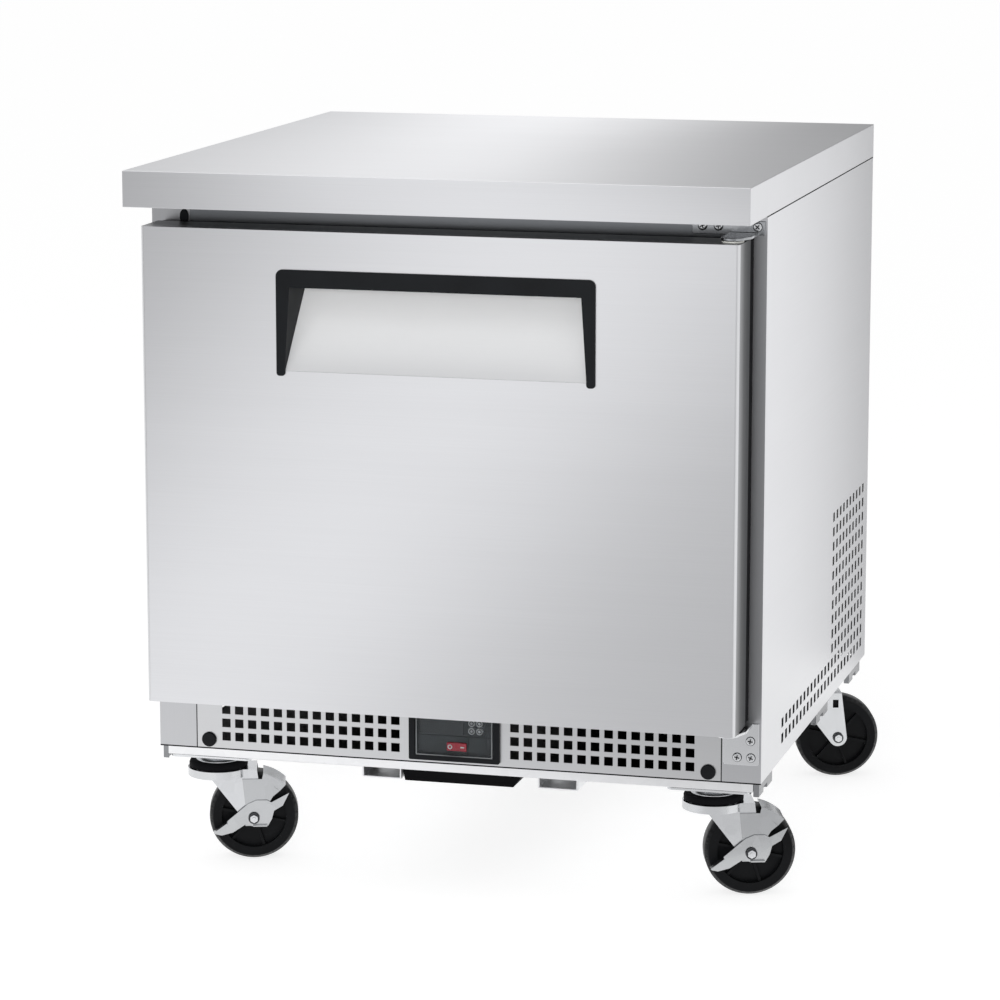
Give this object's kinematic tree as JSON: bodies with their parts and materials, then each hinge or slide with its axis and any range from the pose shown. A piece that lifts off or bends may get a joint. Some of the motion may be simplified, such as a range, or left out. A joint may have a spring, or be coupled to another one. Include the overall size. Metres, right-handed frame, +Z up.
{
  "type": "undercounter refrigerator",
  "caption": "Low stainless undercounter refrigerator with a hinged door, recessed pull, vented base, controller and swivel casters.",
  "frame": {"origin": "on the floor under the middle of the worktop", "axes": "+Z up, the door faces -Y, +X to the right of someone facing the door"},
  "size_m": [0.7588, 0.762, 0.802],
  "materials": {
    "brushed": "satin brushed",
    "galvanised": "galvanised",
    "zinc": "bright zinc",
    "board": "raw board",
    "foam": "rigid foam",
    "black_plastic": "fine grain",
    "black_rubber": "matte",
    "face": "smooth",
    "clear": "smoky clear plastic",
    "red": "glossy",
    "grey": "satin",
    "nylon": "satin",
    "fin": "bare",
    "black_steel": "gloss black",
    "motor": "satin",
    "copper": "bare copper",
    "tread": "moulded"
  },
  "bodies": {
    "cabinet": {"back_panel": "galvanised", "base_channels": "galvanised", "base_pan": "galvanised", "black_plugs": "black_plastic", "breaker_strip": "black_plastic", "caster_plates": "zinc", "caster_seals": "black_rubber", "compressor": "black_steel", "condenser_coil": "fin", "condenser_fan_motor": "motor", "condenser_fan_plate": "galvanised", "controller_face": "face", "controller_housing": "black_plastic", "cord_gland": "black_rubber", "evaporator_coil": "fin", "evaporator_cover": "brushed", "evaporator_fan_motor": "motor", "face_frame": "brushed", "front_grille": "brushed", "hinge_bracket_bottom": "zinc", "hinge_bracket_top": "zinc", "inner_liner": "brushed", "insulation": "foam", "rear_grille": "galvanised", "refrigerant_pipes": "copper", "screws": "zinc", "shelf": "zinc", "shelf_supports": "galvanised", "side_panel_left": "brushed", "side_panel_right": "brushed", "underside_pan": "black_plastic", "worktop": "brushed", "worktop_core": "board"},
    "door": {"door_skin": "brushed", "door_foam": "foam", "door_inner_panel": "brushed", "door_gasket": "black_rubber", "door_hinge_bushes": "nylon", "handle_moulding": "black_plastic", "handle_plate": "brushed"},
    "body_controller_cover": {"controller_cover": "clear"},
    "body_power_rocker": {"power_rocker": "red"},
    "body_set_button_1": {"set_button_1": "grey"},
    "body_set_button_2": {"set_button_2": "grey"},
    "body_set_button_3": {"set_button_3": "grey"},
    "body_set_button_4": {"set_button_4": "grey"},
    "body_evaporator_fan_blade": {"evaporator_fan_blade": "black_plastic"},
    "body_condenser_fan_blade": {"condenser_fan_blade": "black_plastic"},
    "body_brake_lever_front_left": {"brake_lever_front_left": "zinc"},
    "body_brake_lever_front_right": {"brake_lever_front_right": "zinc"},
    "body_brake_shoe_front_left": {"brake_shoe_front_left": "zinc"},
    "body_brake_shoe_front_right": {"brake_shoe_front_right": "zinc"},
    "body_caster_fork_front_left": {"caster_fork_front_left": "zinc"},
    "body_caster_fork_front_right": {"caster_fork_front_right": "zinc"},
    "body_caster_fork_rear_left": {"caster_fork_rear_left": "zinc"},
    "body_caster_fork_rear_right": {"caster_fork_rear_right": "zinc"},
    "body_caster_wheel_front_left": {"caster_wheel_front_left": "tread"},
    "body_caster_wheel_front_right": {"caster_wheel_front_right": "tread"},
    "body_caster_wheel_rear_left": {"caster_wheel_rear_left": "tread"},
    "body_caster_wheel_rear_right": {"caster_wheel_rear_right": "tread"}
  },
  "joints": [
    {"name": "door_hinge", "type": "hinge", "parent": "cabinet", "child": "door", "pos_m": [0.322, -0.338, 0.47], "axis": [0, 0, 1], "range_deg": [0, 110]},
    {"name": "cover_hinge", "type": "hinge", "parent": "cabinet", "child": "body_controller_cover", "pos_m": [0, -0.2884, 0.1967], "axis": [-1, 0, 0], "range_deg": [0, 80]},
    {"name": "rocker_pivot", "type": "hinge", "parent": "cabinet", "child": "body_power_rocker", "pos_m": [0.002, -0.284, 0.1547], "axis": [0, 0, 1], "range_deg": [-6, 6]},
    {"name": "button_1_press", "type": "slide", "parent": "cabinet", "child": "body_set_button_1", "axis": [0, 1, 0], "range_m": [0, 0.0012], "stiffness_N_per_m": 400},
    {"name": "button_2_press", "type": "slide", "parent": "cabinet", "child": "body_set_button_2", "axis": [0, 1, 0], "range_m": [0, 0.0012], "stiffness_N_per_m": 400},
    {"name": "button_3_press", "type": "slide", "parent": "cabinet", "child": "body_set_button_3", "axis": [0, 1, 0], "range_m": [0, 0.0012], "stiffness_N_per_m": 400},
    {"name": "button_4_press", "type": "slide", "parent": "cabinet", "child": "body_set_button_4", "axis": [0, 1, 0], "range_m": [0, 0.0012], "stiffness_N_per_m": 400},
    {"name": "evaporator_fan_spin", "type": "hinge", "parent": "cabinet", "child": "body_evaporator_fan_blade", "pos_m": [-0.06, 0.211, 0.637], "axis": [0, 1, 0], "continuous": true},
    {"name": "condenser_fan_spin", "type": "hinge", "parent": "cabinet", "child": "body_condenser_fan_blade", "pos_m": [0.16, 0.196, 0.2505], "axis": [0, 1, 0], "continuous": true},
    {"name": "caster_swivel_front_left", "type": "hinge", "parent": "cabinet", "child": "body_caster_fork_front_left", "pos_m": [-0.29, -0.256, 0.1], "axis": [0, 0, 1], "continuous": true},
    {"name": "wheel_spin_front_left", "type": "hinge", "parent": "body_caster_fork_front_left", "child": "body_caster_wheel_front_left", "pos_m": [-0.25196, -0.24364, 0.0508], "axis": [-0.309, 0.9511, 0], "continuous": true},
    {"name": "brake_lever_front_left", "type": "hinge", "parent": "body_caster_fork_front_left", "child": "body_brake_lever_front_left", "pos_m": [-0.25196, -0.24364, 0.0508], "axis": [-0.309, 0.9511, 0], "range_deg": [0, 24]},
    {"name": "brake_shoe_front_left", "type": "slide", "parent": "body_caster_fork_front_left", "child": "body_brake_shoe_front_left", "axis": [0, 0, 1], "range_m": [0, 0.002]},
    {"name": "caster_swivel_front_right", "type": "hinge", "parent": "cabinet", "child": "body_caster_fork_front_right", "pos_m": [0.29, -0.256, 0.1], "axis": [0, 0, 1], "continuous": true},
    {"name": "wheel_spin_front_right", "type": "hinge", "parent": "body_caster_fork_front_right", "child": "body_caster_wheel_front_right", "pos_m": [0.32804, -0.24364, 0.0508], "axis": [-0.309, 0.9511, 0], "continuous": true},
    {"name": "brake_lever_front_right", "type": "hinge", "parent": "body_caster_fork_front_right", "child": "body_brake_lever_front_right", "pos_m": [0.32804, -0.24364, 0.0508], "axis": [-0.309, 0.9511, 0], "range_deg": [0, 24]},
    {"name": "brake_shoe_front_right", "type": "slide", "parent": "body_caster_fork_front_right", "child": "body_brake_shoe_front_right", "axis": [0, 0, 1], "range_m": [0, 0.002]},
    {"name": "caster_swivel_rear_left", "type": "hinge", "parent": "cabinet", "child": "body_caster_fork_rear_left", "pos_m": [-0.29, 0.288, 0.1], "axis": [0, 0, 1], "continuous": true},
    {"name": "wheel_spin_rear_left", "type": "hinge", "parent": "body_caster_fork_rear_left", "child": "body_caster_wheel_rear_left", "pos_m": [-0.32804, 0.30036, 0.0508], "axis": [-0.309, -0.9511, 0], "continuous": true},
    {"name": "caster_swivel_rear_right", "type": "hinge", "parent": "cabinet", "child": "body_caster_fork_rear_right", "pos_m": [0.29, 0.288, 0.1], "axis": [0, 0, 1], "continuous": true},
    {"name": "wheel_spin_rear_right", "type": "hinge", "parent": "body_caster_fork_rear_right", "child": "body_caster_wheel_rear_right", "pos_m": [0.32804, 0.30036, 0.0508], "axis": [-0.309, 0.9511, 0], "continuous": true}
  ],
  "couplings": [
    {"joint": "brake_shoe_front_left", "follows": "brake_lever_front_left", "m_per_rad": 0.00477},
    {"joint": "brake_shoe_front_right", "follows": "brake_lever_front_right", "m_per_rad": 0.00477}
  ]
}
